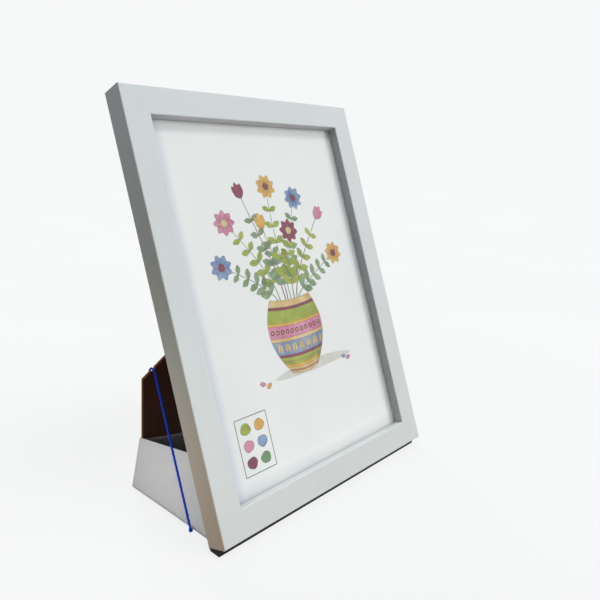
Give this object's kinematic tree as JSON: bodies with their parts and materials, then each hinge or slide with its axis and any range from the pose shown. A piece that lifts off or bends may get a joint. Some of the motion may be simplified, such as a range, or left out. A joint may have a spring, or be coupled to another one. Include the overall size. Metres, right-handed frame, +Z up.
{
  "type": "wooden picture frame",
  "caption": "Painted wooden picture frame with mitred mouldings and glazing, leaning on a fold-out easel leg with cloth gussets and stay cords; turn buttons hold the back panel.",
  "frame": {"origin": "on the surface it stands on, under the middle of its bounding box", "axes": "+Z up, -Y the way the glazed front faces, +X to the right of someone looking at the picture"},
  "size_m": [0.242, 0.1326, 0.3213],
  "materials": {
    "painted_wood": "satin paint with faint grain",
    "glazing": "clear, polished",
    "print_paper": "matt print",
    "filler_card": "raw",
    "back_hardboard": "smooth pressed fibre",
    "leg_hardboard": "dark stained, raw cut edges",
    "foot_rubber": "matt",
    "gusset_cloth": "coated cloth",
    "lining_cloth": "matt cloth",
    "stay_cord": "braided cord",
    "hardware_steel": "zinc plated",
    "button_brass": "plated, satin"
  },
  "bodies": {
    "frame": {"bottom_rail": "painted_wood", "top_rail": "painted_wood", "left_stile": "painted_wood", "right_stile": "painted_wood", "corner_nail_bottom_left": "hardware_steel", "corner_nail_bottom_right": "hardware_steel", "corner_nail_top_left": "hardware_steel", "corner_nail_top_right": "hardware_steel", "foot_strip": "foot_rubber", "glazing": "glazing", "printed_sheet": "print_paper", "filler_board": "filler_card", "back_panel": "back_hardboard", "hinge_bracket": "hardware_steel", "hinge_pin": "hardware_steel", "bracket_rivet_left": "hardware_steel", "bracket_rivet_right": "hardware_steel", "button_screw_left_lower": "hardware_steel", "button_screw_right_lower": "hardware_steel", "button_screw_left_upper": "hardware_steel", "button_screw_right_upper": "hardware_steel", "button_screw_bottom": "hardware_steel", "button_screw_top": "hardware_steel", "gusset_left": "gusset_cloth", "gusset_right": "gusset_cloth", "gusset_stud_left_lower": "button_brass", "gusset_stud_right_lower": "button_brass", "gusset_stud_left_upper": "button_brass", "gusset_stud_right_upper": "button_brass", "stay_cord_left": "stay_cord", "stay_cord_right": "stay_cord", "cord_knot_lower_left": "stay_cord", "cord_knot_lower_right": "stay_cord"},
    "leg": {"easel_leg": "leg_hardboard", "hinge_leaf": "hardware_steel", "leaf_rivet_left": "hardware_steel", "leaf_rivet_right": "hardware_steel", "leg_lining": "lining_cloth", "gusset_rivet_left_lower": "button_brass", "gusset_rivet_right_lower": "button_brass", "gusset_rivet_left_upper": "button_brass", "gusset_rivet_right_upper": "button_brass", "cord_knot_upper_left": "stay_cord", "cord_knot_upper_right": "stay_cord"},
    "button_left_lower": {"turn_button_left_lower": "button_brass"},
    "button_right_lower": {"turn_button_right_lower": "button_brass"},
    "button_left_upper": {"turn_button_left_upper": "button_brass"},
    "button_right_upper": {"turn_button_right_upper": "button_brass"},
    "button_bottom": {"turn_button_bottom": "button_brass"},
    "button_top": {"turn_button_top": "button_brass"}
  },
  "joints": [
    {"name": "leg_fold", "type": "hinge", "parent": "frame", "child": "leg", "pos_m": [0, 0.02527, 0.21018], "axis": [-1, 0, 0], "range_deg": [0, 28], "deforming": ["gusset_left", "gusset_right", "stay_cord_left", "stay_cord_right"]},
    {"name": "button_left_lower_turn", "type": "hinge", "parent": "frame", "child": "button_left_lower", "pos_m": [-0.113, -0.00207, 0.14546], "axis": [0, 0.9511, -0.309], "range_deg": [-90, 90]},
    {"name": "button_right_lower_turn", "type": "hinge", "parent": "frame", "child": "button_right_lower", "pos_m": [0.113, -0.00207, 0.14546], "axis": [0, 0.9511, -0.309], "range_deg": [-90, 90]},
    {"name": "button_left_upper_turn", "type": "hinge", "parent": "frame", "child": "button_left_upper", "pos_m": [-0.113, 0.0381, 0.2691], "axis": [0, 0.9511, -0.309], "range_deg": [-90, 90]},
    {"name": "button_right_upper_turn", "type": "hinge", "parent": "frame", "child": "button_right_upper", "pos_m": [0.113, 0.0381, 0.2691], "axis": [0, 0.9511, -0.309], "range_deg": [-90, 90]},
    {"name": "button_bottom_turn", "type": "hinge", "parent": "frame", "child": "button_bottom", "pos_m": [0, -0.04595, 0.01041], "axis": [0, 0.9511, -0.309], "range_deg": [-90, 90]},
    {"name": "button_top_turn", "type": "hinge", "parent": "frame", "child": "button_top", "pos_m": [0, 0.05077, 0.30809], "axis": [0, 0.9511, -0.309], "range_deg": [-90, 90]}
  ]
}
